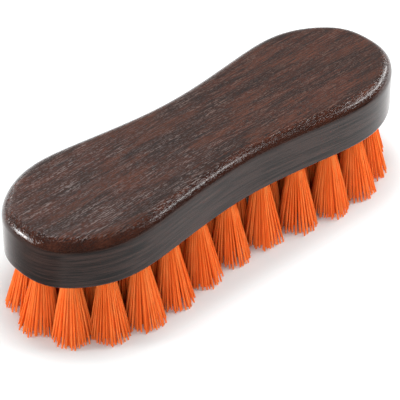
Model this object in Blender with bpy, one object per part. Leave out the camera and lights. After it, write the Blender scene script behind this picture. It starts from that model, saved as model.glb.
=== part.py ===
"""Fabric cleaning brush: a waisted wooden block whose drilled underside holds rows of bristle tufts.

Metres, +Z up. The origin is under the middle of the block, on the plane of the bristle tips,
and the block's long side runs along X.
"""

import math

import bmesh
import bpy
import numpy as np

# Block
BLOCK_LENGTH = 0.150
BLOCK_WIDTH = 0.0476
BLOCK_WAIST = 0.0390
BLOCK_THICKNESS = 0.0173
TOP_EDGE_RADIUS = 0.0044
BOTTOM_EDGE_RADIUS = 0.0008
# A quarter of the outline, from the end round to the waist, as shares of half the length and of
# half the width. The waist closes it.
OUTLINE_SHARES = ((1.0, 0.0), (0.961, 0.488), (0.757, 0.940), (0.467, 0.960))
OUTLINE_FACETS = 96
TOP_EDGE_FACETS = 5
BOTTOM_EDGE_FACETS = 2
SHARP_ANGLE = math.radians(40.0)

# Blind holes drilled up into the underside
HOLE_RADIUS = 0.0024
HOLE_DEPTH = 0.0110
DRILL_POINT = 0.0012
DRILL_OVERRUN = 0.0020
ROUND_FACETS = 8

# Tuft: a bundle folded in half and pushed into its hole, fold first
BRISTLE_REACH = 0.0240
TUFT_CLEARANCE = 0.0003
FOLD_SHOULDER_DEPTH = 0.0062
FOLD_CROWN_RADIUS = 0.0012
STRAND_ROOT_RADIUS = 0.00038
STRAND_TIP_RADIUS = 0.00085
STRAND_OVERLAP = 0.0010
STRAND_SIDES = 3
GOLDEN_TURN = math.pi * (3.0 - math.sqrt(5.0))

# Flat wire anchor across the inside of each fold
ANCHOR_THICKNESS = 0.0004
ANCHOR_HEIGHT = 0.0018
ANCHOR_BELOW_CROWN = 0.0010

# Outer row, which follows the outline. A fan's reach at the tips is a share of its row's pitch.
OUTER_SIDE_INSET = 0.0058
OUTER_END_INSET = 0.0082
OUTER_PITCH = 0.0122
OUTER_START_SHARE = 0.5
OUTER_STRANDS = 10
OUTER_LEAN = 0.0021
OUTER_FAN_SHARE = 0.385

# Inner row, behind the outer one. It takes shares of the outer row's width and waist.
INNER_END_STEP = 0.0112
INNER_WIDTH_SHARE = 0.51
INNER_WAIST_SHARE = 0.44
INNER_PITCH = 0.0114
INNER_START_SHARE = 0.25
INNER_STRANDS = 7
INNER_LEAN = 0.0006
INNER_FAN_SHARE = 0.33

# Short row along the middle of each lobe, as shares of half the inner row's length
LOBE_PLACE_SHARES = (0.53, 0.75)
LOBE_FAN_SHARE = 0.31

# How far both long rows draw in towards the ends of the block, as a share of a row's length
END_CROWDING_SHARE = 0.0134
ROW_FACETS = 400


def clear_scene():
    for obj in list(bpy.data.objects):
        bpy.data.objects.remove(obj)


def plain_material(name, colour, roughness):
    made = bpy.data.materials.new(name)
    made.use_nodes = True
    shader = made.node_tree.nodes["Principled BSDF"]
    shader.inputs["Base Color"].default_value = (*colour, 1.0)
    shader.inputs["Roughness"].default_value = roughness
    shader.inputs["Metallic"].default_value = 0.0
    return made


def mesh_from(bm, name):
    bmesh.ops.recalc_face_normals(bm, faces=bm.faces)
    mesh = bpy.data.meshes.new(name)
    bm.to_mesh(mesh)
    bm.free()
    return mesh


def place(name, mesh, parent, location=(0.0, 0.0, 0.0), turn=0.0):
    obj = bpy.data.objects.new(name, mesh)
    bpy.context.scene.collection.objects.link(obj)
    obj.parent = parent
    obj.location = location
    obj.rotation_euler.z = turn
    return obj


def walls(bm, low, high):
    for i, corner in enumerate(low):
        j = (i + 1) % len(low)
        bm.faces.new((corner, low[j], high[j], high[i]))


def loft(bm, rings):
    """Walls from ring to ring, with a flat face at each end."""
    for low, high in zip(rings, rings[1:]):
        walls(bm, low, high)
    bm.faces.new(rings[0])
    bm.faces.new(rings[-1])


def round_ring(bm, radius, centre_x, z):
    """A level polygon whose flats, not its corners, lie at the radius."""
    corner = radius / math.cos(math.pi / ROUND_FACETS)
    turn = 2.0 * math.pi / ROUND_FACETS
    return [
        bm.verts.new((centre_x + corner * math.cos(i * turn), corner * math.sin(i * turn), z))
        for i in range(ROUND_FACETS)
    ]


def closed_spline(knots, count):
    """Points along a smooth closed curve whose knots are spaced by the square root of their chords."""
    following = np.roll(knots, -1, axis=0)
    size = len(knots)
    step = np.sqrt(np.hypot(*(following - knots).T))
    slope = (following - knots) / step[:, None]
    system = np.zeros((size, size))
    target = np.zeros((size, 2))
    for i in range(size):
        before, after = (i - 1) % size, (i + 1) % size
        system[i, before] += step[i]
        system[i, i] += 2.0 * (step[before] + step[i])
        system[i, after] += step[before]
        target[i] = 3.0 * (step[i] * slope[before] + step[before] * slope[i])
    tangent = np.linalg.solve(system, target)
    starts = np.concatenate([[0.0], np.cumsum(step)])
    points = []
    for along in np.linspace(0.0, starts[-1], count, endpoint=False):
        i = int(np.searchsorted(starts, along, side="right")) - 1
        after = (i + 1) % size
        t = (along - starts[i]) / step[i]
        points.append(
            (1.0 + 2.0 * t) * (1.0 - t) ** 2 * knots[i]
            + t * (1.0 - t) ** 2 * step[i] * tangent[i]
            + t**2 * (3.0 - 2.0 * t) * knots[after]
            + t**2 * (t - 1.0) * step[i] * tangent[after]
        )
    return np.array(points)


def waisted_outline(half_length, half_width, half_waist, count):
    """The block's outline, or one like it further in, anticlockwise from the +X end."""
    quarter = [(x * half_length, y * half_width) for x, y in OUTLINE_SHARES]
    upper = quarter + [(0.0, half_waist)] + [(-x, y) for x, y in reversed(quarter)]
    lower = [(x, -y) for x, y in reversed(upper[1:-1])]
    return closed_spline(np.array(upper + lower), count)


def outward_normals(outline):
    tangent = np.roll(outline, -1, axis=0) - np.roll(outline, 1, axis=0)
    tangent /= np.hypot(*tangent.T)[:, None]
    return np.column_stack([tangent[:, 1], -tangent[:, 0]])


def block_mesh():
    """The block before drilling, lofted from its outline, with both edges rounded."""
    outline = waisted_outline(BLOCK_LENGTH / 2.0, BLOCK_WIDTH / 2.0, BLOCK_WAIST / 2.0, OUTLINE_FACETS)
    normals = outward_normals(outline)
    underside = BRISTLE_REACH
    top = underside + BLOCK_THICKNESS
    levels = []
    for i in range(BOTTOM_EDGE_FACETS + 1):
        angle = math.pi / 2.0 * i / BOTTOM_EDGE_FACETS
        inset = BOTTOM_EDGE_RADIUS * (1.0 - math.sin(angle))
        levels.append((inset, underside + BOTTOM_EDGE_RADIUS * (1.0 - math.cos(angle))))
    for i in range(TOP_EDGE_FACETS + 1):
        angle = math.pi / 2.0 * i / TOP_EDGE_FACETS
        inset = TOP_EDGE_RADIUS * (1.0 - math.cos(angle))
        levels.append((inset, top - TOP_EDGE_RADIUS * (1.0 - math.sin(angle))))
    bm = bmesh.new()
    loft(bm, [[bm.verts.new((*point, z)) for point in outline - inset * normals] for inset, z in levels])
    mesh = mesh_from(bm, "wood_block")
    mesh.shade_smooth()
    mesh.set_sharp_from_angle(angle=SHARP_ANGLE)
    return mesh


def lean_at(lean, z):
    """How far a leaning axis stands outward at a height: none at the underside, all at the tips."""
    return lean * (1.0 - z / BRISTLE_REACH)


def drill_mesh(lean):
    """The space of one drilled hole: a round bore along the tuft's axis with the drill's point."""
    low = BRISTLE_REACH - DRILL_OVERRUN
    high = BRISTLE_REACH + HOLE_DEPTH
    end = high + DRILL_POINT
    bm = bmesh.new()
    mouth = round_ring(bm, HOLE_RADIUS, lean_at(lean, low), low)
    bottom = round_ring(bm, HOLE_RADIUS, lean_at(lean, high), high)
    point = bm.verts.new((lean_at(lean, end), 0.0, end))
    bm.faces.new(mouth)
    walls(bm, mouth, bottom)
    for i, corner in enumerate(bottom):
        bm.faces.new((corner, bottom[(i + 1) % ROUND_FACETS], point))
    return mesh_from(bm, "drilled_hole")


def bundle_mesh(lean):
    """The folded part of a tuft, which fills its hole and narrows over the fold."""
    radius = HOLE_RADIUS - TUFT_CLEARANCE
    crown = BRISTLE_REACH + HOLE_DEPTH - TUFT_CLEARANCE
    sections = (
        (radius, BRISTLE_REACH),
        (radius, BRISTLE_REACH + FOLD_SHOULDER_DEPTH),
        (FOLD_CROWN_RADIUS, crown),
    )
    bm = bmesh.new()
    loft(bm, [round_ring(bm, size, lean_at(lean, z), z) for size, z in sections])
    return mesh_from(bm, "folded_bundle")


def add_anchor(bm, lean):
    """A flat strip on edge across the fold, as long as the bundle is wide."""
    top = BRISTLE_REACH + HOLE_DEPTH - TUFT_CLEARANCE - ANCHOR_BELOW_CROWN
    bottom = top - ANCHOR_HEIGHT
    half_length = HOLE_RADIUS - TUFT_CLEARANCE
    half_thickness = ANCHOR_THICKNESS / 2.0
    corners = ((1.0, 1.0), (-1.0, 1.0), (-1.0, -1.0), (1.0, -1.0))
    rings = []
    for z in (bottom, top):
        centre = lean_at(lean, z)
        rings.append([bm.verts.new((centre + a * half_thickness, b * half_length, z)) for a, b in corners])
    loft(bm, rings)


def add_strand(bm, root, tip):
    """One straight strand with level ends, thicker at its tip."""
    heading = math.atan2(tip[1] - root[1], tip[0] - root[0])
    turn = 2.0 * math.pi / STRAND_SIDES
    rings = []
    for (x, y, z), radius in ((tip, STRAND_TIP_RADIUS), (root, STRAND_ROOT_RADIUS)):
        angles = [heading + i * turn for i in range(STRAND_SIDES)]
        ring = [(x + radius * math.cos(a), y + radius * math.sin(a), z) for a in angles]
        rings.append([bm.verts.new(corner) for corner in ring])
    loft(bm, rings)


def strands_mesh(strands, lean, spread):
    """Strands that fan out from the bundle like the seeds of a sunflower, and the anchor behind them."""
    root_z = BRISTLE_REACH + STRAND_OVERLAP
    root_spread = HOLE_RADIUS - TUFT_CLEARANCE - STRAND_ROOT_RADIUS
    bm = bmesh.new()
    add_anchor(bm, lean)
    for i in range(strands):
        share = math.sqrt((i + 0.5) / strands)
        across = math.cos(i * GOLDEN_TURN) * share
        aside = math.sin(i * GOLDEN_TURN) * share
        root = (lean_at(lean, root_z) + root_spread * across, root_spread * aside, root_z)
        add_strand(bm, root, (lean + spread * across, spread * aside, 0.0))
    return mesh_from(bm, "strands")


def fused(base, addition, name):
    """One closed mesh of the base with the addition's shapes joined to it."""
    carrier = place(name, base, None)
    tool = place(name + "_addition", addition, None)
    union = carrier.modifiers.new("Join", "BOOLEAN")
    union.operation = "UNION"
    union.object = tool
    bpy.context.view_layer.update()
    graph = bpy.context.evaluated_depsgraph_get()
    mesh = bpy.data.meshes.new_from_object(carrier.evaluated_get(graph))
    mesh.name = name
    for obj in (carrier, tool):
        bpy.data.objects.remove(obj)
    return mesh


def tuft_mesh(name, strands, lean, spread, bristle):
    """A tuft that leans towards +X, its tips cut level at the origin's height."""
    mesh = fused(bundle_mesh(lean), strands_mesh(strands, lean, spread), name)
    mesh.materials.clear()
    mesh.materials.append(bristle)
    return mesh


def places_along(outline, pitch, start_share):
    """Places round a closed outline, from a share of a pitch on, with the outward angle at each.

    They draw in towards the outline's two ends.
    """
    lengths = np.hypot(*(np.roll(outline, -1, axis=0) - outline).T)
    reached = np.concatenate([[0.0], np.cumsum(lengths)])
    whole = reached[-1]
    count = round(whole / pitch)
    normals = outward_normals(outline)
    around = np.arange(len(outline) + 1) % len(outline)
    found = []
    for i in range(count):
        share = (i + start_share) / count
        along = whole * (share - END_CROWDING_SHARE * math.sin(4.0 * math.pi * share))
        x, y = (np.interp(along, reached, outline[around, axis]) for axis in (0, 1))
        across, aside = (np.interp(along, reached, normals[around, axis]) for axis in (0, 1))
        found.append((x, y, math.atan2(aside, across)))
    return found


def outer_row_sizes():
    """Half the length, width and waist of the outer row."""
    return (
        BLOCK_LENGTH / 2.0 - OUTER_END_INSET,
        BLOCK_WIDTH / 2.0 - OUTER_SIDE_INSET,
        BLOCK_WAIST / 2.0 - OUTER_SIDE_INSET,
    )


def inner_row_sizes():
    """The same of the inner row."""
    half_length, half_width, half_waist = outer_row_sizes()
    return half_length - INNER_END_STEP, half_width * INNER_WIDTH_SHARE, half_waist * INNER_WAIST_SHARE


def outer_places():
    row = waisted_outline(*outer_row_sizes(), ROW_FACETS)
    return places_along(row, OUTER_PITCH, OUTER_START_SHARE)


def inner_places():
    row = waisted_outline(*inner_row_sizes(), ROW_FACETS)
    return places_along(row, INNER_PITCH, INNER_START_SHARE)


def lobe_places():
    half_length = inner_row_sizes()[0]
    along = [share * half_length for share in LOBE_PLACE_SHARES]
    return [(x, 0.0, 0.0) for x in along] + [(-x, 0.0, math.pi) for x in along]


def build_brush():
    wood = plain_material("dark_wood", (0.075, 0.038, 0.030), 0.30)
    bristle = plain_material("orange_bristle", (0.79, 0.115, 0.017), 0.45)
    brush = place("brush", None, None)
    rows = (
        ("outer_tuft", outer_places(), OUTER_STRANDS, OUTER_LEAN, OUTER_PITCH * OUTER_FAN_SHARE),
        ("inner_tuft", inner_places(), INNER_STRANDS, INNER_LEAN, INNER_PITCH * INNER_FAN_SHARE),
        ("lobe_tuft", lobe_places(), INNER_STRANDS, 0.0, INNER_PITCH * LOBE_FAN_SHARE),
    )
    holes = bpy.data.collections.new("drilled_holes")
    bpy.context.scene.collection.children.link(holes)
    for name, places, strands, lean, spread in rows:
        tuft = tuft_mesh(name, strands, lean, spread, bristle)
        drill = drill_mesh(lean)
        for i, (x, y, turn) in enumerate(places):
            place(f"{name}_{i + 1:02d}", tuft, brush, (x, y, 0.0), turn)
            hole = place(f"{name}_hole_{i + 1:02d}", drill, brush, (x, y, 0.0), turn)
            hole.hide_render = True
            hole.display_type = "WIRE"
            bpy.context.scene.collection.objects.unlink(hole)
            holes.objects.link(hole)
    block = place("wood_block", block_mesh(), brush)
    block.data.materials.append(wood)
    drilling = block.modifiers.new("Drill", "BOOLEAN")
    drilling.operation = "DIFFERENCE"
    drilling.operand_type = "COLLECTION"
    drilling.collection = holes


clear_scene()
build_brush()
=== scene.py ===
"""Fabric cleaning brush: the finish of its lacquered wooden block and its folded nylon tufts.

Metres, +Z up. The brush stands on its bristle tips at z = 0, with its long side along X.
"""

import math

import bmesh
import bpy
import numpy as np
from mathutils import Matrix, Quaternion, Vector


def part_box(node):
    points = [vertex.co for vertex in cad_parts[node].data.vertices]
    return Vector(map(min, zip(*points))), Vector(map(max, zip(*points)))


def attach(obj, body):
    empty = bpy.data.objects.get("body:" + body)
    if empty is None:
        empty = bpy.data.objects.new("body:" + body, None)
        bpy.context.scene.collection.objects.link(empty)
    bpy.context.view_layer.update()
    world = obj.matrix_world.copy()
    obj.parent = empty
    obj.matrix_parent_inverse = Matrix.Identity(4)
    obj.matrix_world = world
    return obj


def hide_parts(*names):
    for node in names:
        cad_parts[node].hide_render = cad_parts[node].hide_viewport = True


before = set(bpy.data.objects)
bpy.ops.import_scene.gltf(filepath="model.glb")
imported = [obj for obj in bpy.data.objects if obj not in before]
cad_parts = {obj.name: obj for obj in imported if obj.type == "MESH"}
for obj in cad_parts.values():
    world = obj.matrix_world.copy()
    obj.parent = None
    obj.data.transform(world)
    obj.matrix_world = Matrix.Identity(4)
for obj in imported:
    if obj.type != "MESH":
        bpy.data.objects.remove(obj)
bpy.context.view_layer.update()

MM = 0.001
BODY = "root"

# Block, whose length, width and height come from its node
BLOCK_LOW, BLOCK_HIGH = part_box("wood_block")
BLOCK_WAIST = 39.0 * MM
TOP_EDGE_RADIUS = 4.4 * MM
BOTTOM_EDGE_RADIUS = 0.8 * MM
FLAT_MARGIN = 0.25 * MM
OUTLINE_SHARES = ((1.0, 0.0), (0.961, 0.488), (0.757, 0.940), (0.467, 0.960))
OUTLINE_FACETS = 384
TOP_EDGE_FACETS = 18
WALL_FACETS = 6
BOTTOM_EDGE_FACETS = 5
SHARP_ANGLE = math.radians(40.0)

# Drilled holes
HOLE_RADIUS = 2.4 * MM
HOLE_DEPTH = 11.0 * MM
DRILL_POINT = 1.2 * MM
HOLE_FACETS = 24

# Filaments, folded in half over a flat wire anchor
FILAMENT_RADIUS = 0.265 * MM
FILAMENT_SIDES = 6
FILAMENT_PITCH = 0.395 * MM
PACKING_RADIUS = 2.05 * MM
FAN_FULLNESS = 1.28
FAN_EVENNESS = 0.70
FILAMENT_STEPS = 3
FOLD_STEPS = 4
FOLD_SHOULDER = 6.2 * MM
FOLD_BASE = 9.0 * MM
FOLD_TOP = 10.4 * MM
FOLD_HALF_WIDTH_SHARE = 0.62
TIP_ROUND_SHARE = 0.55
TIP_BEVEL = 0.12 * MM
TIP_CLEARANCE = 0.03 * MM
TIP_RAGGEDNESS = 1.0 * MM
TIP_WANDER = 0.24 * MM
BOW = 0.15 * MM
ANCHOR_THICKNESS = 0.4 * MM
ANCHOR_HEIGHT = 1.8 * MM
FILAMENT_SHARP_ANGLE = math.radians(55.0)
RANDOM_SEED = 11
NEAR = 0.01 * MM

# Colours, in the usual 0 to 255 values
GAMMA = 2.2
DARK_FIGURE = (52, 28, 19)
LIGHT_FIGURE = (70, 38, 27)
BLUSH = (88, 47, 33)
WARM_PATCH = (100, 57, 40)
PORE = (16, 10, 9)
# Painted sheen on the ridges of the top's grain, grey at the left end and brown at the right
LEFT_PAINTED_SHEEN = (144, 132, 128)
RIGHT_PAINTED_SHEEN = (136, 104, 90)
ROUNDED_EDGE = (46, 27, 21)
DARK_LAYER = (15, 10, 9)
LIGHT_LAYER = (54, 33, 26)
# Painted light on the upper wall, strongest at the left end
WALL_PAINTED_LIGHT = (50, 33, 27)
DEEP_NYLON = (255, 138, 68)
PALE_NYLON = (255, 158, 86)
STREAKED_NYLON = (240, 108, 44)
WORN_NYLON = (255, 160, 95)
NYLON_SHOWN_THROUGH = (255, 180, 95)
STEEL = (190, 188, 184)

# Noises: length, width and depth of the features, detail, roughness and where the noise starts
GRAINS = {
    "figure": ((60.0 * MM, 7.0 * MM, 4.0 * MM), 3.0, 0.55, 0.0),
    "blush": ((25.0 * MM, 2.6 * MM, 2.6 * MM), 2.0, 0.5, 5.0),
    "patches": ((16.0 * MM, 2.4 * MM, 2.4 * MM), 2.0, 0.5, 9.0),
    "warmth": ((26.0 * MM, 4.5 * MM, 4.5 * MM), 1.0, 0.5, 29.0),
    "fibres": ((7.0 * MM, 0.45 * MM, 0.45 * MM), 2.0, 0.5, 11.0),
    "lines": ((8.0 * MM, 0.25 * MM, 0.25 * MM), 1.0, 0.5, 3.0),
    "breaks": ((1.2 * MM, 0.40 * MM, 0.40 * MM), 1.0, 0.5, 7.0),
    "layers": ((14.0 * MM, 14.0 * MM, 0.5 * MM), 3.0, 0.6, 17.0),
    "clouds": ((20.0 * MM, 20.0 * MM, 4.0 * MM), 2.0, 0.5, 23.0),
}
SWAY = ((70.0 * MM, 30.0 * MM, 30.0 * MM), 1.0)
STREAKS = ((1.5 * MM, 1.5 * MM, 9.0 * MM), 2.0)
SCRATCHES = ((0.12 * MM, 0.12 * MM, 1.2 * MM), 1.0)
DRAWN_MARKS = ((2.0 * MM, 0.1 * MM, 0.1 * MM), 2.0)
NOISE_MEAN = 0.5

# Ramps: the input's two ends, then the results at both ends where those aren't 0 and 1

# Wood, by how far its surface faces up
FLAT_TOP_RAMP = (0.72, 0.99)
SIDE_RAMP = (0.05, 0.60, 1.0, 0.0)
RELIEF_RAMP = (0.2, 1.0, 0.15, 1.0)
ROUGHNESS_RAMP = (0.92, 0.995, 0.12, 0.30)
TOP_GLEAM_FACING_RAMP = (0.95, 0.99)

# Wood, by its noises
FIGURE_RAMP = (0.38, 0.62)
BLUSH_RAMP = (0.48, 0.66, 0.0, 0.6)
WARMTH_RAMP = (0.50, 0.64)
FIBRE_RAMP = (0.36, 0.64)
BREAK_RAMP = (0.43, 0.55)
RIDGE_RAMP = (0.50, 0.60)
PORE_RAMP = (0.40, 0.50, 1.0, 0.0)
# Where the painted sheen shows on the top
PATCH_RAMP = (0.40, 0.62, 0.36, 0.80)
LAYER_RAMP = (0.35, 0.75)
# Painted light on the wall, broken up by clouds and layers
WALL_LIGHT_CLOUD_RAMP = (0.35, 0.60, 0.15, 1.0)
WALL_LIGHT_LAYER_RAMP = (0.34, 0.62, 0.25, 1.0)
EDGE_GLEAM_RAMP = (0.38, 0.62, 0.34, 0.66)
TOP_GLEAM_RAMP = (0.38, 0.62, 0.43, 0.57)
WALL_GLEAM_RAMP = (0.36, 0.64, 0.39, 0.55)

# Wood, by flatness, warmth and place
FLAT_PORE_RAMP = (0.0, 1.0, 0.45, 0.92)
EDGE_SHARE_RAMP = (0.0, 1.0, 0.55, 0.0)
# Painted sheen: less on warm patches, fading from the left end to the right, and its colour along the block
WARM_SHEEN_RAMP = (0.0, 1.0, 1.0, 0.35)
SHEEN_FADE_RAMP = (-60.0 * MM, 60.0 * MM, 1.0, 0.50)
SHEEN_COLOUR_RAMP = (-40.0 * MM, 40.0 * MM)
# Painted light on the wall: by height, and more at the left end
WALL_LIGHT_HEIGHT_RAMP = (BLOCK_LOW.z + 2.0 * MM, BLOCK_HIGH.z - TOP_EDGE_RADIUS)
WALL_LIGHT_END_RAMP = (-74.0 * MM, -58.0 * MM, 1.0, 0.60)

# Wood, other settings
SWAY_WIDTH = 3.0 * MM
WARMTH_SHARE = 0.50
FIBRE_SHADE = (0.70, 0.68, 0.68, 1.0)
FIBRE_LIGHT = (1.25, 1.25, 1.25, 1.0)
FIBRE_ROUGHNESS = 0.08
WOOD_BUMP_STRENGTH = 0.4
WOOD_BUMP_DEPTH = 0.06 * MM
LACQUER_IOR = 1.5

# Nylon and steel
STREAK_RAMP = (0.38, 0.62, 0.0, 0.50)
WORN_RAMP = (0.0, 1.5 * MM, 0.35, 0.0)
SCRATCH_STRENGTH = 0.15
SCRATCH_DEPTH = 0.02 * MM
NYLON_ROUGHNESS_RAMP = (0.2, 0.8, 0.42, 0.56)
NYLON_IOR = 1.48
NYLON_GLEAM = 0.08
TRANSLUCENT_SHARE = 0.45
STEEL_ROUGHNESS_RAMP = (0.3, 0.7, 0.28, 0.45)

# Camera
CAMERA_TARGET = Vector((-12.45, -11.18, 25.0)) * MM
CAMERA_DISTANCE = 683.07 * MM
CAMERA_TURN = math.radians(-42.8)
CAMERA_RISE = math.radians(38.41)
CAMERA_LENS = 198.0
CAMERA_SENSOR = 36.0

# Studio directions, level with the floor
BACKDROP_BEARING = math.radians(47.2)
AHEAD = (math.cos(BACKDROP_BEARING), math.sin(BACKDROP_BEARING), 0.0)
ASIDE = (math.sin(BACKDROP_BEARING), -math.cos(BACKDROP_BEARING), 0.0)

# Floor, whose ramps follow distances in metres
FLOOR_HALF_LENGTH = 3.0
SPINE_HALF_LENGTH = 48.0 * MM
WHITE = (1.0, 1.0, 1.0, 1.0)
FLOOR_IN_LIGHT = (0.94, 0.94, 0.94, 1.0)
FLOOR_IN_GLOSS = (0.98, 0.98, 0.98, 1.0)
# The camera sees the floor darker and cooler than light and gloss do: painted shade that deepens the brush's
# shadow and cools the orange light bounced into it
FLOOR_TO_CAMERA = (0.80, 0.845, 0.85, 1.0)
FLOOR_IN_GLOOM = (0.05, 0.05, 0.05, 1.0)
# The lifts towards white paint where the brush's shadow fades out
SHADOW_LIFT_RAMP = (25.0 * MM, 37.0 * MM, 0.0, 0.30)
NEAR_LIFT_RAMP = (34.0 * MM, 60.0 * MM, 0.0, 0.09)
FAR_LIFT_RAMP = (0.3, 1.2, 0.0, 0.6)
LEFT_END_RAMP = (-0.065, -0.035, 1.0, 0.0)
GLOW_RAMP = (-0.04, 0.08, 0.0, 0.40)
LEFT_GLOW_RAMP = (-0.040, -0.010, 0.0, 0.60)
NEAR_GLOOM_RAMP = (0.10, 0.34, 1.0, 0.0)
BEHIND_GLOOM_RAMP = (0.0, 0.15)
FRONT_GLOOM_RAMP = (-0.24, -0.03, 1.0, 0.0)
LEFT_GLOOM_RAMP = (-0.050, -0.030, 0.60, 0.0)

# World
BACKDROP_RAMP = (-0.05, 0.55, 0.22, 0.68)
BACKDROP_RISE_RAMP = (0.54, 0.66, 0.70, 1.0)
SOFT_LIGHT = 0.32

# Lights: place, width and height in metres, power in watts, roll, and whether gloss shows them
LIGHTS = {
    "right_strip": ((0.340, -0.137, 0.205), 0.41, 0.06, 1.0, math.radians(-25.0), True),
    "left_box": ((-0.381, 0.231, 0.110), 0.11, 0.08, 1.1, 0.0, True),
    "back_strip": ((0.12, 1.10, 0.50), 0.90, 0.10, 1.5, 0.0, True),
    "overhead": ((0.10, 0.10, 1.40), 1.0, 1.0, 4.6, 0.0, False),
    "front_fill": ((-0.87, -0.77, 0.42), 1.2, 0.6, 8.8, 0.0, False),
    "right_fill": ((0.75, -0.75, 0.35), 0.6, 0.4, 2.8, 0.0, False),
}


# Shapes

def closed_spline(knots, count):
    """Points along a smooth closed curve whose knots are spaced by the square root of their chords."""
    following = np.roll(knots, -1, axis=0)
    size = len(knots)
    step = np.sqrt(np.hypot(*(following - knots).T))
    slope = (following - knots) / step[:, None]
    system = np.zeros((size, size))
    target = np.zeros((size, 2))
    for i in range(size):
        before, after = (i - 1) % size, (i + 1) % size
        system[i, before] += step[i]
        system[i, i] += 2.0 * (step[before] + step[i])
        system[i, after] += step[before]
        target[i] = 3.0 * (step[i] * slope[before] + step[before] * slope[i])
    tangent = np.linalg.solve(system, target)
    starts = np.concatenate([[0.0], np.cumsum(step)])
    points = []
    for along in np.linspace(0.0, starts[-1], count, endpoint=False):
        i = int(np.searchsorted(starts, along, side="right")) - 1
        after = (i + 1) % size
        t = (along - starts[i]) / step[i]
        points.append(
            (1.0 + 2.0 * t) * (1.0 - t) ** 2 * knots[i]
            + t * (1.0 - t) ** 2 * step[i] * tangent[i]
            + t**2 * (3.0 - 2.0 * t) * knots[after]
            + t**2 * (t - 1.0) * step[i] * tangent[after]
        )
    return np.array(points)


def waisted_outline(half_length, half_width):
    """The block's outline, anticlockwise from the +X end."""
    quarter = [(x * half_length, y * half_width) for x, y in OUTLINE_SHARES]
    upper = quarter + [(0.0, BLOCK_WAIST / 2.0)] + [(-x, y) for x, y in reversed(quarter)]
    lower = [(x, -y) for x, y in reversed(upper[1:-1])]
    return closed_spline(np.array(upper + lower), OUTLINE_FACETS)


def outward_normals(outline):
    """Level directions that point straight out of the outline at its points."""
    tangent = np.roll(outline, -1, axis=0) - np.roll(outline, 1, axis=0)
    tangent /= np.hypot(*tangent.T)[:, None]
    return np.column_stack([tangent[:, 1], -tangent[:, 0]])


def bridge(bm, low, high):
    """A band of faces between two rings with as many corners."""
    for i, corner in enumerate(low):
        j = (i + 1) % len(low)
        bm.faces.new((corner, low[j], high[j], high[i]))


def edges_round(bm, ring):
    """The edges that join a ring's corners in turn."""
    return [bm.edges.get((corner, ring[(i + 1) % len(ring)])) for i, corner in enumerate(ring)]


def block_levels(underside, top):
    """Height and inset of each ring of the block, from the underside to the edge of its flat top."""
    levels = []
    for i in range(BOTTOM_EDGE_FACETS + 1):
        angle = math.pi / 2.0 * i / BOTTOM_EDGE_FACETS
        inset = BOTTOM_EDGE_RADIUS * (1.0 - math.sin(angle))
        levels.append((inset, underside + BOTTOM_EDGE_RADIUS * (1.0 - math.cos(angle))))
    wall_low = underside + BOTTOM_EDGE_RADIUS
    wall_high = top - TOP_EDGE_RADIUS
    for i in range(1, WALL_FACETS):
        levels.append((0.0, wall_low + (wall_high - wall_low) * i / WALL_FACETS))
    for i in range(TOP_EDGE_FACETS + 1):
        angle = math.pi / 2.0 * i / TOP_EDGE_FACETS
        inset = TOP_EDGE_RADIUS * (1.0 - math.cos(angle))
        levels.append((inset, top - TOP_EDGE_RADIUS * (1.0 - math.sin(angle))))
    levels.append((TOP_EDGE_RADIUS + FLAT_MARGIN, top))
    return levels


def hole_ring(bm, tuft, depth):
    """A level ring of a drilled hole, which follows its tuft's lean."""
    z = tuft.mouth.z + depth
    middle = tuft.axis_at(z)
    turn = 2.0 * math.pi / HOLE_FACETS
    return [
        bm.verts.new((
            middle.x + HOLE_RADIUS * math.cos(i * turn),
            middle.y + HOLE_RADIUS * math.sin(i * turn),
            z,
        ))
        for i in range(HOLE_FACETS)
    ]


def build_block(tufts):
    """The block with both edges rounded and a blind hole for each tuft."""
    outline = waisted_outline(BLOCK_HIGH.x, BLOCK_HIGH.y)
    normals = outward_normals(outline)
    bm = bmesh.new()
    rings = [
        [bm.verts.new((*point, z)) for point in outline - inset * normals]
        for inset, z in block_levels(BLOCK_LOW.z, BLOCK_HIGH.z)
    ]
    for lower, upper in zip(rings, rings[1:]):
        bridge(bm, lower, upper)
    bm.faces.new(rings[-1])
    borders = edges_round(bm, rings[0])
    for tuft in tufts:
        mouth = hole_ring(bm, tuft, 0.0)
        bottom = hole_ring(bm, tuft, HOLE_DEPTH)
        bridge(bm, bottom, mouth)
        borders += edges_round(bm, mouth)
        point = bm.verts.new(tuft.axis_at(tuft.mouth.z + HOLE_DEPTH + DRILL_POINT))
        for i, corner in enumerate(bottom):
            bm.faces.new((bottom[(i + 1) % HOLE_FACETS], corner, point))
    bmesh.ops.triangle_fill(bm, use_beauty=True, edges=borders)
    bmesh.ops.recalc_face_normals(bm, faces=bm.faces)
    mesh = bpy.data.meshes.new("lacquered_block")
    bm.to_mesh(mesh)
    bm.free()
    mesh.shade_smooth()
    mesh.set_sharp_from_angle(angle=SHARP_ANGLE)
    block = add_piece("lacquered_block", mesh, "wood_block")
    weighted = block.modifiers.new("Even shading", "WEIGHTED_NORMAL")
    weighted.keep_sharp = True
    return block


# Tufts

class Tuft:
    """Where a tuft's node has its axis, its reach and the plane of its anchor."""

    def __init__(self, node):
        self.node = node
        corners = np.array([v.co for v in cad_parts[node].data.vertices])
        crown = corners[corners[:, 2] > corners[:, 2].max() - NEAR].mean(axis=0)
        level = corners[np.abs(corners[:, 2] - BLOCK_LOW.z) < NEAR]
        mouth = (level.min(axis=0) + level.max(axis=0)) / 2.0
        tips = corners[corners[:, 2] < NEAR]
        self.crown = Vector(crown)
        self.mouth = Vector(mouth)
        foot = self.axis_at(0.0)
        self.reach = np.hypot(tips[:, 0] - foot.x, tips[:, 1] - foot.y).max()
        self.turn = math.atan2(*(foot - self.crown).yx)

    def axis_at(self, z):
        """Where the tuft's leaning axis is at a height."""
        share = (z - self.mouth.z) / (self.crown.z - self.mouth.z)
        return self.mouth.lerp(self.crown, share)


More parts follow.
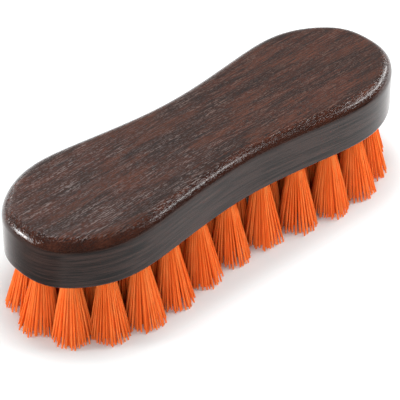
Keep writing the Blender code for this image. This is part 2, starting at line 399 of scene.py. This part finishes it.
def packed_places():
    """Where one leg of each filament goes through the hole: half of a hexagonal packing.

    The other leg is its mirror image across the anchor.
    """
    row_step = FILAMENT_PITCH * math.sqrt(3.0) / 2.0
    places = []
    x = FILAMENT_PITCH / 2.0
    shifted = False
    while x < PACKING_RADIUS:
        reach = math.sqrt(PACKING_RADIUS**2 - x**2)
        start = FILAMENT_PITCH / 2.0 if shifted else 0.0
        count = int((reach + start) / FILAMENT_PITCH)
        for i in range(-count, count + 1):
            y = i * FILAMENT_PITCH + start
            if abs(y) <= reach:
                places.append((x, y))
        x += row_step
        shifted = not shifted
    return places


def filament_path(place, tuft_reach, wander, heights, bow):
    """Points of a folded filament about the tuft's upright axis, from tip to tip.

    Depths are measured upward from the mouth of the hole.
    """
    x, y = place
    packed = math.hypot(x, y) / PACKING_RADIUS
    spread = FAN_FULLNESS * tuft_reach / PACKING_RADIUS * packed ** (FAN_EVENNESS - 1.0)
    legs = []
    for side, drift, height in zip((1.0, -1.0), wander, heights):
        leg = []
        for t in np.linspace(0.0, 1.0, FILAMENT_STEPS + 1):
            down = 1.0 - t
            scale = 1.0 + (spread - 1.0) * down
            outward = bow * down * t
            leg.append((
                side * x * scale + drift[0] * down + side * outward * x / PACKING_RADIUS,
                y * scale + drift[1] * down + outward * y / PACKING_RADIUS,
                -(BLOCK_LOW.z - height) * down,
            ))
        leg.append((side * x, y, FOLD_SHOULDER))
        legs.append(leg)
    half_width = x * FOLD_HALF_WIDTH_SHARE + ANCHOR_THICKNESS
    rise = (FOLD_TOP - FOLD_BASE) * x / PACKING_RADIUS
    fold = []
    for i in range(FOLD_STEPS + 1):
        angle = math.pi * i / FOLD_STEPS
        fold.append((
            half_width * math.cos(angle),
            y * FOLD_HALF_WIDTH_SHARE,
            FOLD_BASE + rise * math.sin(angle),
        ))
    return np.array(legs[0] + fold + legs[1][::-1])


def tube(points, vertices, faces):
    """Adds a round tube with slightly rounded ends along the points."""
    along = np.gradient(points, axis=0)
    along /= np.linalg.norm(along, axis=1)[:, None]
    points = np.vstack([
        points[0],
        points[0] + TIP_BEVEL * along[0],
        points[1:-1],
        points[-1] - TIP_BEVEL * along[-1],
        points[-1],
    ])
    along = np.vstack([along[0], along, along[-1]])
    radii = np.full(len(points), FILAMENT_RADIUS)
    radii[[0, -1]] *= TIP_ROUND_SHARE
    across = np.cross(along, (0.0, 1.0, 0.0))
    across /= np.linalg.norm(across, axis=1)[:, None]
    aside = np.cross(across, along)
    first = len(vertices)
    for point, radius, u, v in zip(points, radii, across, aside):
        for i in range(FILAMENT_SIDES):
            angle = 2.0 * math.pi * i / FILAMENT_SIDES
            vertices.append(point + radius * (math.cos(angle) * u + math.sin(angle) * v))
    for ring in range(len(points) - 1):
        start = first + ring * FILAMENT_SIDES
        for i in range(FILAMENT_SIDES):
            j = (i + 1) % FILAMENT_SIDES
            faces.append((start + i, start + j, start + FILAMENT_SIDES + j, start + FILAMENT_SIDES + i))
    last = first + (len(points) - 1) * FILAMENT_SIDES
    faces.append(tuple(first + i for i in reversed(range(FILAMENT_SIDES))))
    faces.append(tuple(last + i for i in range(FILAMENT_SIDES)))


def anchor_strip(vertices, faces):
    """Adds the flat wire that the filaments fold over."""
    first = len(vertices)
    bottom = FOLD_BASE - ANCHOR_HEIGHT
    for z in (bottom, FOLD_BASE):
        for x, y in ((1.0, 1.0), (-1.0, 1.0), (-1.0, -1.0), (1.0, -1.0)):
            vertices.append(np.array((x * ANCHOR_THICKNESS / 2.0, y * PACKING_RADIUS, z)))
    faces.append((first + 3, first + 2, first + 1, first))
    faces.append((first + 4, first + 5, first + 6, first + 7))
    for i in range(4):
        j = (i + 1) % 4
        faces.append((first + i, first + j, first + 4 + j, first + 4 + i))


def set_in_hole(corners, tuft):
    """Turns corners about the tuft's upright axis, and leans and moves them into its hole."""
    turn = tuft.turn
    x = corners[:, 0] * math.cos(turn) - corners[:, 1] * math.sin(turn)
    y = corners[:, 0] * math.sin(turn) + corners[:, 1] * math.cos(turn)
    z = corners[:, 2] + tuft.mouth.z
    lean = (tuft.crown - tuft.mouth).xy / (tuft.crown.z - tuft.mouth.z)
    x += tuft.mouth.x + lean.x * corners[:, 2]
    y += tuft.mouth.y + lean.y * corners[:, 2]
    return np.column_stack([x, y, z])


def build_tuft(tuft, random, bristle, steel):
    """The tuft's folded filaments and the anchor that holds them."""
    vertices = []
    faces = []
    for place in packed_places():
        wander = random.normal(0.0, TIP_WANDER, (2, 2))
        heights = TIP_CLEARANCE + TIP_RAGGEDNESS * random.random(2) ** 2
        bow = random.normal(BOW, BOW)
        tube(filament_path(place, tuft.reach, wander, heights, bow), vertices, faces)
    filament_faces = len(faces)
    anchor_strip(vertices, faces)
    mesh = bpy.data.meshes.new(tuft.node + "_filaments")
    mesh.from_pydata(set_in_hole(np.array(vertices), tuft).tolist(), [], faces)
    mesh.materials.append(bristle)
    mesh.materials.append(steel)
    for face in mesh.polygons[filament_faces:]:
        face.material_index = 1
    mesh.shade_smooth()
    mesh.set_sharp_from_angle(angle=FILAMENT_SHARP_ANGLE)
    return add_piece(tuft.node + "_filaments", mesh, tuft.node)


def add_piece(name, mesh, node):
    """A piece of the brush that stands for a node."""
    piece = bpy.data.objects.new(name, mesh)
    bpy.context.scene.collection.objects.link(piece)
    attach(piece, BODY)
    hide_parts(node)
    return piece


# Materials

class Shading:
    """A node tree that is built one node at a time."""

    def __init__(self, tree):
        self.tree = tree
        tree.nodes.clear()

    def node(self, kind, inputs=None, **settings):
        """A node with its settings, and with its inputs linked or set to values."""
        made = self.tree.nodes.new(kind)
        for name, value in settings.items():
            setattr(made, name, value)
        for name, value in (inputs or {}).items():
            if isinstance(value, bpy.types.NodeSocket):
                self.tree.links.new(value, made.inputs[name])
            else:
                made.inputs[name].default_value = value
        return made

    def math(self, operation, a, b=0.0):
        return self.node("ShaderNodeMath", {0: a, 1: b}, operation=operation).outputs[0]

    def remap(self, value, low, high, to_low=0.0, to_high=1.0, smooth=True):
        """A ramp that stays level past its ends, and eases in and out unless it isn't smooth."""
        made = self.node(
            "ShaderNodeMapRange",
            {"Value": value, "From Min": low, "From Max": high, "To Min": to_low, "To Max": to_high},
            interpolation_type="SMOOTHSTEP" if smooth else "LINEAR",
        )
        return made.outputs["Result"]

    def noise(self, vector, grain, detail, roughness=0.5, offset=0.0):
        """Noise whose features have the given length, width and depth."""
        scaled = self.node(
            "ShaderNodeMapping",
            {"Vector": vector, "Location": (offset, offset, offset), "Scale": [1.0 / size for size in grain]},
        )
        made = self.node(
            "ShaderNodeTexNoise",
            {"Vector": scaled.outputs[0], "Scale": 1.0, "Detail": detail, "Roughness": roughness},
        )
        return made.outputs["Fac"]

    def mix(self, share, first, second, blend="MIX"):
        """The first colour at a share of 0, and the second, or its blend over the first, at 1."""
        made = self.node("ShaderNodeMix", data_type="RGBA", blend_type=blend, clamp_factor=True)
        for socket, value in zip((made.inputs[0], made.inputs[6], made.inputs[7]), (share, first, second)):
            if isinstance(value, bpy.types.NodeSocket):
                self.tree.links.new(value, socket)
            else:
                socket.default_value = value
        return made.outputs[2]

    def output(self, surface, kind="ShaderNodeOutputMaterial"):
        self.node(kind, {"Surface": surface})


def new_material(name):
    """A material and the shading that builds its node tree."""
    made = bpy.data.materials.new(name)
    made.use_nodes = True
    return made, Shading(made.node_tree)


def rgb(colour):
    """A colour given in the usual 0 to 255 values."""
    return tuple((c / 255.0) ** GAMMA for c in colour) + (1.0,)


def wood_noises(s, point):
    """The noises of the grain, which sways from side to side along the block."""
    sway = s.noise(point, *SWAY)
    shift = s.math("MULTIPLY", s.math("SUBTRACT", sway, NOISE_MEAN), SWAY_WIDTH)
    moved = s.node("ShaderNodeCombineXYZ", {"Y": shift, "Z": shift})
    grain = s.node("ShaderNodeVectorMath", {0: point, 1: moved.outputs[0]}, operation="ADD").outputs[0]
    return {name: s.noise(grain, *settings) for name, settings in GRAINS.items()}


def top_colour(s, noises, ridges, pores, along, flat_top):
    """Brown figure and warm patches under dark pores, a painted sheen in pale colours on the grain's ridges
    that is strongest at the left end, and darker on the rounded edge.
    """
    warmth = s.remap(noises["warmth"], *WARMTH_RAMP)
    colour = s.mix(s.remap(noises["figure"], *FIGURE_RAMP), rgb(DARK_FIGURE), rgb(LIGHT_FIGURE))
    colour = s.mix(s.remap(noises["blush"], *BLUSH_RAMP), colour, rgb(BLUSH))
    colour = s.mix(s.math("MULTIPLY", warmth, WARMTH_SHARE), colour, rgb(WARM_PATCH))
    darker = s.mix(1.0, colour, FIBRE_SHADE, "MULTIPLY")
    lighter = s.mix(1.0, colour, FIBRE_LIGHT, "MULTIPLY")
    colour = s.mix(s.remap(noises["fibres"], *FIBRE_RAMP), darker, lighter)
    pore_share = s.math("MULTIPLY", pores, s.remap(flat_top, *FLAT_PORE_RAMP))
    colour = s.mix(pore_share, colour, rgb(PORE))
    # Painted sheen: pale colour on the grain's ridges in patches, fading from the left end to the right
    painted_sheen = s.math("MULTIPLY", s.remap(noises["patches"], *PATCH_RAMP), flat_top)
    painted_sheen = s.math("MULTIPLY", painted_sheen, s.remap(along, *SHEEN_FADE_RAMP))
    painted_sheen = s.math("MULTIPLY", painted_sheen, s.remap(warmth, *WARM_SHEEN_RAMP))
    ridge = s.mix(s.remap(along, *SHEEN_COLOUR_RAMP), rgb(LEFT_PAINTED_SHEEN), rgb(RIGHT_PAINTED_SHEEN))
    colour = s.mix(s.math("MULTIPLY", ridges, painted_sheen), colour, ridge)
    return s.mix(s.remap(flat_top, *EDGE_SHARE_RAMP), colour, rgb(ROUNDED_EDGE))


def wall_colour(s, noises, along, height):
    """Dark wood in level layers, with painted light that makes it more red and lighter towards the top edge,
    most of all at the left end.
    """
    stained = s.mix(s.remap(noises["layers"], *LAYER_RAMP), rgb(DARK_LAYER), rgb(LIGHT_LAYER))
    # Painted light: the upper wall lighter and more red, most at the left end
    upper = s.remap(height, *WALL_LIGHT_HEIGHT_RAMP)
    painted_light = s.math("MULTIPLY", upper, s.remap(noises["clouds"], *WALL_LIGHT_CLOUD_RAMP))
    painted_light = s.math("MULTIPLY", painted_light, s.remap(noises["layers"], *WALL_LIGHT_LAYER_RAMP))
    painted_light = s.math("MULTIPLY", painted_light, s.remap(along, *WALL_LIGHT_END_RAMP))
    return s.mix(painted_light, stained, rgb(WALL_PAINTED_LIGHT))


def lacquer_gleam(s, noises, normal, side):
    """How strongly the lacquer reflects, uneven over the pores of the top and the layers of the walls."""
    edge_gleam = s.remap(noises["breaks"], *EDGE_GLEAM_RAMP)
    top_gleam = s.remap(noises["breaks"], *TOP_GLEAM_RAMP)
    wall_gleam = s.remap(noises["layers"], *WALL_GLEAM_RAMP)
    gleam = s.mix(s.remap(normal, *TOP_GLEAM_FACING_RAMP), edge_gleam, top_gleam)
    return s.mix(side, gleam, wall_gleam)


def lacquered_wood():
    """Dark stained hardwood under lacquer: long fibres, reddish figure, open pores and a sheen."""
    made, s = new_material("lacquered_wood")
    place = s.node("ShaderNodeTexCoord")
    point = place.outputs["Object"]
    along, _, height = s.node("ShaderNodeSeparateXYZ", {0: point}).outputs
    normal = s.node("ShaderNodeSeparateXYZ", {0: place.outputs["Normal"]}).outputs["Z"]
    flat_top = s.remap(normal, *FLAT_TOP_RAMP)
    side = s.remap(normal, *SIDE_RAMP)
    noises = wood_noises(s, point)
    broken = s.remap(noises["breaks"], *BREAK_RAMP)
    ridges = s.math("MULTIPLY", s.remap(noises["lines"], *RIDGE_RAMP), broken)
    pores = s.math("MULTIPLY", s.remap(noises["lines"], *PORE_RAMP), broken)
    top = top_colour(s, noises, ridges, pores, along, flat_top)
    relief = s.math("SUBTRACT", s.math("ADD", noises["fibres"], ridges), pores)
    relief = s.math("MULTIPLY", relief, s.remap(normal, *RELIEF_RAMP))
    bump = s.node(
        "ShaderNodeBump",
        {"Strength": WOOD_BUMP_STRENGTH, "Distance": WOOD_BUMP_DEPTH, "Height": relief},
    )
    fibre_roughness = s.math("MULTIPLY", noises["fibres"], FIBRE_ROUGHNESS)
    shader = s.node(
        "ShaderNodeBsdfPrincipled",
        {
            "Base Color": s.mix(side, top, wall_colour(s, noises, along, height)),
            "Roughness": s.math("ADD", s.remap(normal, *ROUGHNESS_RAMP), fibre_roughness),
            "IOR": LACQUER_IOR,
            "Specular IOR Level": lacquer_gleam(s, noises, normal, side),
            "Normal": bump.outputs[0],
        },
    )
    s.output(shader.outputs[0])
    return made


def nylon_bristle():
    """Orange nylon with a slight sheen, whose filaments differ a little in shade."""
    made, s = new_material("nylon_bristle")
    place = s.node("ShaderNodeTexCoord").outputs["Object"]
    strand = s.node("ShaderNodeNewGeometry").outputs["Random Per Island"]
    colour = s.mix(strand, rgb(DEEP_NYLON), rgb(PALE_NYLON))
    streak = s.noise(place, *STREAKS)
    colour = s.mix(s.remap(streak, *STREAK_RAMP), colour, rgb(STREAKED_NYLON))
    height = s.node("ShaderNodeSeparateXYZ", {0: place}).outputs["Z"]
    colour = s.mix(s.remap(height, *WORN_RAMP), colour, rgb(WORN_NYLON))
    scratches = s.noise(place, *SCRATCHES)
    bump = s.node(
        "ShaderNodeBump",
        {"Strength": SCRATCH_STRENGTH, "Distance": SCRATCH_DEPTH, "Height": scratches},
    )
    shader = s.node(
        "ShaderNodeBsdfPrincipled",
        {
            "Base Color": colour,
            "Roughness": s.remap(streak, *NYLON_ROUGHNESS_RAMP),
            "IOR": NYLON_IOR,
            "Specular IOR Level": NYLON_GLEAM,
            "Normal": bump.outputs[0],
        },
    )
    through = s.node("ShaderNodeBsdfTranslucent", {"Color": rgb(NYLON_SHOWN_THROUGH)})
    mixed = s.node(
        "ShaderNodeMixShader",
        {0: TRANSLUCENT_SHARE, 1: shader.outputs[0], 2: through.outputs[0]},
    )
    s.output(mixed.outputs[0])
    return made


def anchor_steel():
    """Plain drawn steel wire."""
    made, s = new_material("anchor_steel")
    place = s.node("ShaderNodeTexCoord").outputs["Object"]
    drawn = s.noise(place, *DRAWN_MARKS)
    shader = s.node(
        "ShaderNodeBsdfPrincipled",
        {
            "Base Color": rgb(STEEL),
            "Metallic": 1.0,
            "Roughness": s.remap(drawn, *STEEL_ROUGHNESS_RAMP),
        },
    )
    s.output(shader.outputs[0])
    return made


# Studio

def seen_directly(s):
    """1 for rays from the camera and for what gloss shows, 0 for light on the object."""
    path = s.node("ShaderNodeLightPath").outputs
    return s.math("MAXIMUM", path["Is Camera Ray"], path["Is Glossy Ray"])


def floor_lift(s, place, outward):
    """How far the floor that the camera sees is lifted towards white with distance from the brush, which
    paints where its shadow fades out.
    """
    spine = distance_to_spine(s, place)
    lift = s.math("ADD", s.remap(spine, *SHADOW_LIFT_RAMP), s.remap(spine, *NEAR_LIFT_RAMP))
    return s.math("ADD", lift, s.remap(outward, *FAR_LIFT_RAMP))


def floor_glow(s, beyond, left):
    """How brightly the floor shines in gloss: beyond the brush, and close by its left end."""
    left_glow = s.math("MULTIPLY", left, s.remap(beyond, *LEFT_GLOW_RAMP))
    return s.math("ADD", s.remap(beyond, *GLOW_RAMP), left_glow)


def floor_gloom(s, beyond, outward, left):
    """How dark the floor is in gloss: in front of the brush, most of all far out and by its left end."""
    lit = s.math("MAXIMUM", s.remap(outward, *NEAR_GLOOM_RAMP), s.remap(beyond, *BEHIND_GLOOM_RAMP))
    dark = s.math("SUBTRACT", 1.0, lit)
    dark = s.math("MAXIMUM", dark, s.remap(beyond, *FRONT_GLOOM_RAMP, smooth=False))
    return s.math("MAXIMUM", dark, s.math("MULTIPLY", left, s.remap(beyond, *LEFT_GLOOM_RAMP)))


def floor_paper():
    """White paper that keeps the brush's shadow, deepened by a painted shade where the camera sees it, and
    goes dark in front of it in what gloss shows.
    """
    made, s = new_material("pale_floor")
    paths = s.node("ShaderNodeLightPath").outputs
    to_camera = paths["Is Camera Ray"]
    in_gloss = paths["Is Glossy Ray"]
    place = s.node("ShaderNodeTexCoord").outputs["Object"]
    outward = s.node("ShaderNodeVectorMath", {0: place}, operation="LENGTH").outputs["Value"]
    beyond = reach_along(s, place, AHEAD)
    left = s.remap(reach_along(s, place, ASIDE), *LEFT_END_RAMP)
    lift = s.math("MULTIPLY", to_camera, floor_lift(s, place, outward))
    glow = s.math("MULTIPLY", in_gloss, floor_glow(s, beyond, left))
    gloom_share = s.math("MULTIPLY", in_gloss, floor_gloom(s, beyond, outward, left))
    # Painted shade: the camera sees the floor darker and cooler than light and gloss do
    tone = s.mix(in_gloss, FLOOR_TO_CAMERA, FLOOR_IN_GLOSS)
    shaded = s.node("ShaderNodeBsdfDiffuse", {"Color": tone})
    lit = s.node("ShaderNodeEmission", {"Color": WHITE, "Strength": s.math("ADD", lift, glow)})
    bright = s.node("ShaderNodeAddShader", {0: shaded.outputs[0], 1: lit.outputs[0]})
    gloom = s.node("ShaderNodeBsdfDiffuse", {"Color": FLOOR_IN_GLOOM})
    shown = s.node("ShaderNodeMixShader", {0: gloom_share, 1: bright.outputs[0], 2: gloom.outputs[0]})
    plain = s.node("ShaderNodeBsdfDiffuse", {"Color": FLOOR_IN_LIGHT})
    mixed = s.node("ShaderNodeMixShader", {0: seen_directly(s), 1: plain.outputs[0], 2: shown.outputs[0]})
    s.output(mixed.outputs[0])
    return made


def studio_floor():
    """The sheet of paper that the brush stands on."""
    half = FLOOR_HALF_LENGTH
    mesh = bpy.data.meshes.new("floor")
    corners = [(-half, -half, 0.0), (half, -half, 0.0), (half, half, 0.0), (-half, half, 0.0)]
    mesh.from_pydata(corners, [], [(0, 1, 2, 3)])
    mesh.materials.append(floor_paper())
    floor = bpy.data.objects.new("floor", mesh)
    bpy.context.scene.collection.objects.link(floor)


def distance_to_spine(s, place):
    """Distance from the line along the brush's middle, between the middles of its two lobes."""
    x, y, _ = s.node("ShaderNodeSeparateXYZ", {0: place}).outputs
    past_end = s.math("SUBTRACT", s.math("ABSOLUTE", x), SPINE_HALF_LENGTH)
    outward = s.node("ShaderNodeCombineXYZ", {"X": s.math("MAXIMUM", past_end, 0.0), "Y": y}).outputs[0]
    return s.node("ShaderNodeVectorMath", {0: outward}, operation="LENGTH").outputs["Value"]


def reach_along(s, vector, direction):
    """How far a place or direction reaches along a level direction of the studio."""
    return s.node("ShaderNodeVectorMath", {0: vector, 1: direction}, operation="DOT_PRODUCT").outputs["Value"]


def studio_world():
    """Soft light from all round, white to the camera, with a dark room in front in what gloss shows."""
    world = bpy.data.worlds.new("studio")
    bpy.context.scene.world = world
    world.use_nodes = True
    s = Shading(world.node_tree)
    direction = s.node("ShaderNodeTexCoord").outputs["Generated"]
    path = s.node("ShaderNodeLightPath").outputs
    backdrop = s.remap(reach_along(s, direction, AHEAD), *BACKDROP_RAMP)
    rise = s.node("ShaderNodeSeparateXYZ", {0: direction}).outputs["Z"]
    backdrop = s.math("MULTIPLY", backdrop, s.remap(rise, *BACKDROP_RISE_RAMP))
    glossy = s.math("MULTIPLY", path["Is Glossy Ray"], backdrop)
    direct = s.math("MAXIMUM", path["Is Camera Ray"], glossy)
    soft = s.math("MULTIPLY", s.math("SUBTRACT", 1.0, seen_directly(s)), SOFT_LIGHT)
    strength = s.math("ADD", direct, soft)
    background = s.node("ShaderNodeBackground", {"Color": WHITE, "Strength": strength})
    s.output(background.outputs[0], "ShaderNodeOutputWorld")


def softbox(name, place, width, height, power, roll, in_gloss):
    """A rectangular light at a place in metres, turned to face the place that the camera looks at."""
    light = bpy.data.lights.new(name, "AREA")
    light.shape = "RECTANGLE"
    light.size = width
    light.size_y = height
    light.energy = power
    lamp = bpy.data.objects.new(name, light)
    lamp.location = place
    away = (lamp.location - CAMERA_TARGET).normalized()
    lamp.rotation_mode = "QUATERNION"
    lamp.rotation_quaternion = away.to_track_quat("Z", "Y") @ Quaternion((0.0, 0.0, 1.0), roll)
    lamp.visible_camera = False
    lamp.visible_glossy = in_gloss
    bpy.context.scene.collection.objects.link(lamp)


def build_camera():
    """The camera that was fitted to the photo."""
    forward = Vector((
        -math.sin(CAMERA_TURN) * math.cos(CAMERA_RISE),
        math.cos(CAMERA_TURN) * math.cos(CAMERA_RISE),
        -math.sin(CAMERA_RISE),
    ))
    data = bpy.data.cameras.new("camera")
    data.lens = CAMERA_LENS
    data.sensor_width = CAMERA_SENSOR
    camera = bpy.data.objects.new("camera", data)
    camera.location = CAMERA_TARGET - forward * CAMERA_DISTANCE
    camera.rotation_mode = "QUATERNION"
    camera.rotation_quaternion = forward.to_track_quat("-Z", "Y")
    bpy.context.scene.collection.objects.link(camera)
    bpy.context.scene.camera = camera


def build_brush():
    """The block and its tufts, whose small differences are drawn in the order of their names."""
    random = np.random.default_rng(RANDOM_SEED)
    tufts = [Tuft(node) for node in sorted(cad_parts) if node != "wood_block"]
    block = build_block(tufts)
    block.data.materials.append(lacquered_wood())
    bristle = nylon_bristle()
    steel = anchor_steel()
    for tuft in tufts:
        build_tuft(tuft, random, bristle, steel)


def build_studio():
    """The floor, the light and the camera."""
    studio_floor()
    studio_world()
    for name, settings in LIGHTS.items():
        softbox(name, *settings)
    build_camera()
    bpy.context.scene.view_settings.view_transform = "Standard"


build_brush()
build_studio()
